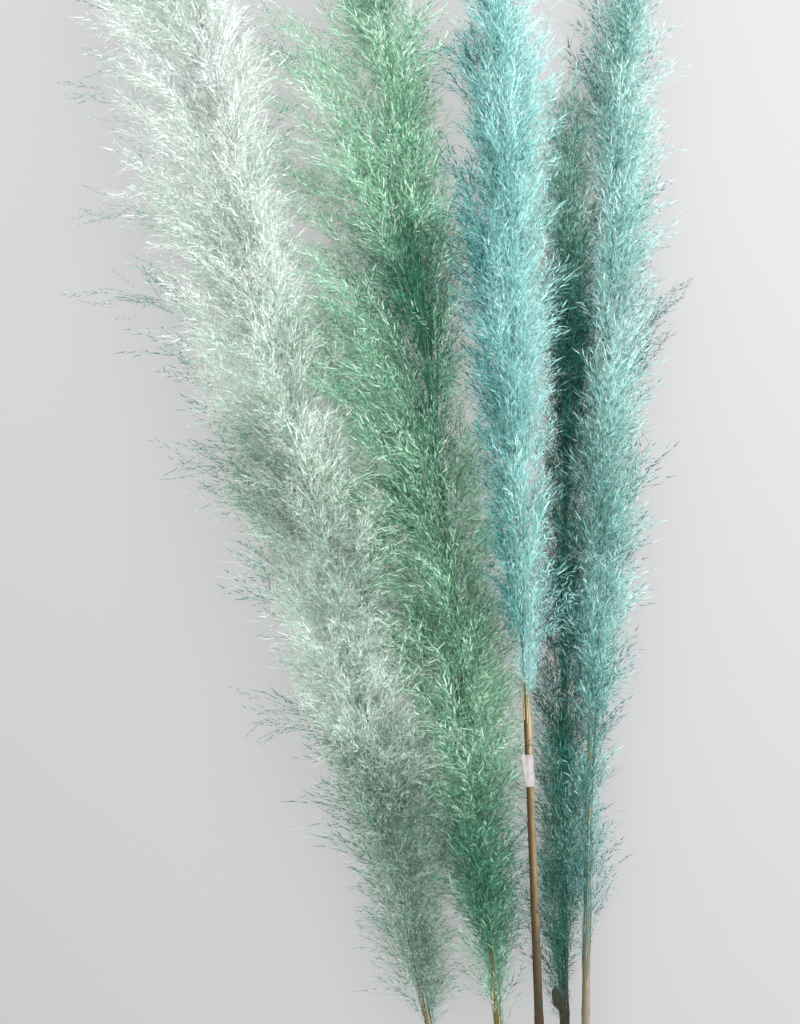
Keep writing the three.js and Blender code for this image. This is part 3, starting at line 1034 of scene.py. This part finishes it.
def grow_strands(stalk, lines, habit, rng):
    """The strand of every branch, as (points, triangles, chart places, heights)."""
    points, triangles, chart, stuff = strand
    count = len(lines["y0"])
    pick = np.repeat(np.arange(count), len(points))
    share = np.tile(points[:, 1], count)
    placed = along_branch(stalk, lines, pick, share, habit["nod"]).reshape(count, -1, 3)
    thick = np.where(share < 0.99, 0.00034 - 0.0002 * share, 0.0).reshape(count, -1)
    lateral = unit(points * (1, 0, 1))
    placed += lateral[None] * thick[..., None]
    shades = shaded(chart, rng.normal(0.35, 0.1, count), np.full(count, 0.3))
    shades[..., 1] = 0.99 - 0.6 * np.clip(points[triangles.ravel(), 1] / habit["straw"], 0, 1)
    return in_bounds(placed), triangles, shades, placed[:, 0, 1], stuff


def grow(stalk, count, per_branch, seed, habit):
    """All of a plume's needles, kind by kind, as (points, triangles, chart places, heights)."""
    rng = np.random.default_rng(seed)
    lines = branch_lines(stalk, count, rng, habit)
    start, axes, size, bend, tone, drift, thin = tuft_places(stalk, lines, per_branch, rng, habit)
    sort = np.where(rng.random(len(start)) < habit["down"], "downy", "mixed")
    sort[thin] = "thin"
    kinds = np.zeros(len(start), int)
    for each, (number, _, _) in KINDS.items():
        kinds[sort == each] = first_of[each] + rng.integers(0, number, (sort == each).sum())
    parts = [grow_strands(stalk, lines, habit, rng)]
    for kind, (points, triangles, chart, stuff) in enumerate(tufts):
        chosen = np.flatnonzero(kinds == kind)
        local = points[None] * size[chosen, None, None]
        placed = np.einsum("npk,nkj->npj", local, axes[chosen]) + start[chosen, None]
        share = (points[:, 1] / TUFT_LENGTH)[None, :, None]
        placed += bend[chosen, None] * (share**2) * (TUFT_LENGTH * size[chosen])[:, None, None]
        shades = shaded(chart, tone[chosen], drift[chosen], habit["contrast"])
        parts.append((in_bounds(placed), triangles, shades, start[chosen, 1], stuff))
    return parts


# %% [markdown]
# ## One mesh from many tufts
#
# Thousands of separate objects would be slow to open and to render, so the copies are joined. One
# mesh for a whole plume would be too heavy to handle, so a plume is shared out by height into a
# few pieces of about the same size.

# %% From tufts to meshes
def plume_meshes(name, parts, pieces):
    """Splits a plume into pieces by height and writes each as one mesh."""
    heights = np.concatenate([p[3] for p in parts])
    bounds = np.quantile(heights, np.linspace(0, 1, pieces + 1))
    bounds[-1] += 1.0
    meshes = []
    for k in range(pieces):
        points, triangles, chart, stuffs, base = [], [], [], [], 0
        for placed, faces, shades, at, stuff in parts:
            inside = (at >= bounds[k]) & (at < bounds[k + 1])
            some = placed[inside]
            n, m = some.shape[:2]
            offsets = base + np.arange(n) * m
            points.append(some.reshape(-1, 3))
            triangles.append((faces[None] + offsets[:, None, None]).reshape(-1, 3))
            chart.append(shades[inside].reshape(-1, 2))
            stuffs.append(np.tile(stuff, n))
            base += n * m
        meshes.append(mesh_from_arrays(f"{name}_{k}", points, triangles, chart, stuffs))
    return meshes


def mesh_from_arrays(name, points, triangles, chart, stuffs):
    points, triangles = np.concatenate(points), np.concatenate(triangles)
    mesh = bpy.data.meshes.new(name)
    mesh.vertices.add(len(points))
    mesh.vertices.foreach_set("co", points.ravel())
    mesh.loops.add(triangles.size)
    mesh.loops.foreach_set("vertex_index", triangles.ravel().astype(np.int32))
    mesh.polygons.add(len(triangles))
    mesh.polygons.foreach_set("loop_start", np.arange(0, triangles.size, 3, dtype=np.int32))
    mesh.polygons.foreach_set("use_smooth", np.ones(len(triangles), bool))
    mesh.polygons.foreach_set("material_index", np.concatenate(stuffs).astype(np.int32))
    layer = mesh.uv_layers.new(name=CHART)
    layer.data.foreach_set("uv", np.concatenate(chart).ravel())
    mesh.update(calc_edges=True)
    mesh.validate()
    return mesh


# %% [markdown]
# ## The five plumes
#
# The plumes differ in dye and in habit, and a few words describe a habit:
#
# - Branches: `run` is how far one travels before it ends, `nod` how strongly its end falls back,
#   `bare` the share of it with no tufts, and `strays` the share of branches that stand far out. A
#   smaller `hollow` pushes their ends to the surface, and `spurs` are small groups that leave the
#   plume together.
# - Outline: `spill_left` and `spill_right` let the hair stand out past the pressed outline of the
#   frame. `slow`, `neck`, `foot` and `sink` shape the plume's lower end. `parting` is a stretch
#   where the hair opens over the rachis.
# - Tufts: `tuft` is their size, `flare` how far they turn outwards, `lean` and `loose` how untidy
#   they are, `down` the share that is downy, and `frays` how many are thin at each side's rim.
# - Shade: `tone` runs from the foot to the tip. `sides`, `rim` and `blotches` are painted
#   shade and painted light at the sides, at the rim and in soft spots, and `clumps` and `patches`
#   change it at random from place to place. `flecks` darkens the thin tufts, `contrast` is how much
#   the needles differ, and `straw` how slowly the straw at a strand's foot gives way to the dye.

# %% Plume habits and colours
def habit(**changes):
    usual = {
        "run": 0.09, "nod": 0.0, "flare": 0.15, "lean": 0.8, "loose": 0.006, "bare": 0.28,
        "tuft": 1.0, "hollow": 0.45, "slow": 0.06,
        "spill_left": (0.0,) * 6, "spill_right": (0.0,) * 6,
        "tone": (0.3, 0.45, 0.5, 0.55), "clumps": 0.06, "patches": 0.2, "rim": 0.6,
        "sides": (0.0, 0.0), "contrast": 1.0, "strays": 0.02, "parting": (0.0, 0.0, 0.0),
        "down": 0.4, "neck": 0.012, "spurs": (), "foot": 0.6, "sink": (0.010, 0.040),
        "blotches": (), "flecks": 0.2, "straw": 0.3, "frays": (1.0, 1.0),
    }
    return {**usual, **changes}


PLUMES = {
    "mint": {
        "pieces": 5, "branches": 226, "per_branch": 23, "seed": 11, "clear": 0.0035,
        "habit": habit(
            nod=0.3, flare=0.25, lean=1.0, tuft=1.05, slow=0.12, tone=(-0.38, 0.26, 0.60, 0.66),
            spill_left=(0.0, -0.010, -0.006, 0.002, 0.0, 0.004),
            spill_right=(0.0, 0.0, 0.004, 0.006, -0.006, -0.008),
            contrast=0.35, clumps=0.04, patches=0.12, rim=0.3, strays=0.05, down=0.9,
            neck=0.018, foot=0.8, frays=(1.0, 0.4), flecks=0.45,
            blotches=(
                (0.40, -0.55, 0.06, 0.4, -0.7), (0.33, 0.1, 0.06, 0.4, -0.2), (0.6, 0.0, 0.35, 0.4, 0.25),
            ),
            spurs=((0.53, 0.61, -0.100), (0.46, 0.55, -0.104), (0.36, 0.44, -0.080),
                   (0.17, 0.23, -0.064), (0.65, 0.73, -0.082)),
        ),
        "dye": ((0.14, 0.36, 0.20), (0.80, 0.96, 0.83), (1.0, 1.0, 1.0), (0.92, 1.0, 1.0)),
        "husk_dye": ((0.08, 0.22, 0.16), (0.70, 0.88, 0.74), (1.0, 1.0, 0.98), (0.88, 1.0, 1.0)),
    },
    "sage": {
        "pieces": 3, "branches": 210, "per_branch": 23, "seed": 22, "clear": 0.0008,
        "habit": habit(
            nod=0.2, tone=(0.1, 0.33, 0.41, 0.36), clumps=0.09, patches=0.14, frays=(0.35, 1.0),
            spill_left=(0.0, 0.004, 0.032, 0.052, 0.032, 0.030),
            spill_right=(0.0, 0.004, 0.008, 0.010, 0.006, 0.0),
            sides=(0.10, -0.15), contrast=1.1, parting=(0.40, 0.66, 0.005), rim=0.3, flecks=0.1,
            blotches=((0.53, 0.03, 0.12, 0.13, -0.6),), hollow=0.5,
        ),
        "dye": ((0.01, 0.14, 0.05), (0.11, 0.51, 0.24), (0.73, 0.94, 0.74), (0.9, 1.0, 1.0)),
        "husk_dye": ((0.02, 0.12, 0.07), (0.48, 0.74, 0.54), (0.92, 0.98, 0.87), (0.85, 1.0, 1.0)),
    },
    "aqua": {
        "pieces": 2, "branches": 97, "per_branch": 22, "seed": 13, "clear": 0.0007,
        "habit": habit(
            run=0.13, flare=0.08, lean=0.6, tuft=0.9, slow=0.15, tone=(0.45, 0.5, 0.5, 0.44),
            frays=(0.15, 1.0), spill_left=(0.0, 0.0, 0.002, 0.007, 0.008, 0.006),
            spill_right=(-0.002, -0.004, 0.0, 0.0, 0.0, 0.002),
            sides=(-1.1, 0.05), contrast=1.1, rim=0.1, down=0.55, neck=0.003, patches=0.12,
            foot=0.02, sink=(0.004, 0.028), bare=0.36, straw=1.6,
            spurs=((0.05, 0.143, 0.028),),
        ),
        "dye": ((0.01, 0.22, 0.19), (0.17, 0.62, 0.55), (0.62, 0.84, 0.79), (0.78, 0.95, 1.0)),
        "husk_dye": ((0.01, 0.14, 0.13), (0.42, 0.76, 0.71), (0.85, 0.97, 0.94), (0.65, 0.88, 1.0)),
    },
    "teal": {
        "pieces": 2, "branches": 88, "per_branch": 20, "seed": 14, "clear": 0.0003,
        "habit": habit(
            flare=0.1, lean=0.6, tuft=0.95, tone=(0.12, 0.12, 0.16, 0.42), rim=0.1, down=0.5, hollow=0.55,
            spill_left=(0.0, 0.002, 0.003, 0.003, 0.002, 0.006),
            spill_right=(0.004, 0.006, 0.006, 0.004, 0.006, 0.010),
            contrast=1.1, flecks=0.1, frays=(0.3, 0.2),
        ),
        "dye": ((0.006, 0.065, 0.042), (0.035, 0.22, 0.155), (0.40, 0.68, 0.58), (0.85, 1.0, 1.0)),
        "husk_dye": ((0.006, 0.06, 0.04), (0.14, 0.33, 0.25), (0.56, 0.78, 0.69), (0.80, 1.0, 1.0)),
    },
    "lagoon": {
        "pieces": 2, "branches": 102, "per_branch": 22, "seed": 15, "clear": 0.0007,
        "habit": habit(
            run=0.10, flare=0.12, lean=0.7, tuft=0.95, tone=(0.02, 0.40, 0.52, 0.40), clumps=0.1,
            spill_left=(0.0, 0.006, 0.006, 0.004, 0.002, 0.002), sides=(-0.2, 0.0), frays=(0.3, 1.0),
            spill_right=(-0.014, -0.014, -0.012, -0.012, -0.012, -0.012), contrast=1.1,
            strays=0.06, down=0.4, patches=0.12, flecks=0.3, neck=0.008, foot=0.35, slow=0.10,
            parting=(-0.2, 0.12, 0.005),
            spurs=((0.46, 0.60, 0.042), (0.45, 0.59, 0.037)),
        ),
        "dye": ((0.012, 0.18, 0.14), (0.18, 0.55, 0.47), (0.70, 0.86, 0.80), (0.75, 0.94, 1.0)),
        "husk_dye": ((0.01, 0.10, 0.09), (0.40, 0.68, 0.61), (0.84, 0.96, 0.91), (0.70, 0.90, 1.0)),
    },
}
SECTIONS = {
    2: ["_lower", "_upper"],
    3: ["_lower", "_middle", "_upper"],
    5: ["_base", "_lower", "_middle", "_upper", "_top"],
}

for name, plan in PLUMES.items():
    stuffs = [
        plume_material(f"{name}_silk", plan["dye"], plan["clear"]),
        plume_material(f"{name}_husk", plan["husk_dye"], None),
    ]
    parts = grow(stalks[name], plan["branches"], plan["per_branch"], plan["seed"], plan["habit"])
    for mesh, section in zip(plume_meshes(name, parts, plan["pieces"]), SECTIONS[plan["pieces"]]):
        finish_piece(f"{name}_hair{section}", mesh, stuffs, f"{name}_plume")
print("in all:", sum(TRIANGLES.values()), "triangles")
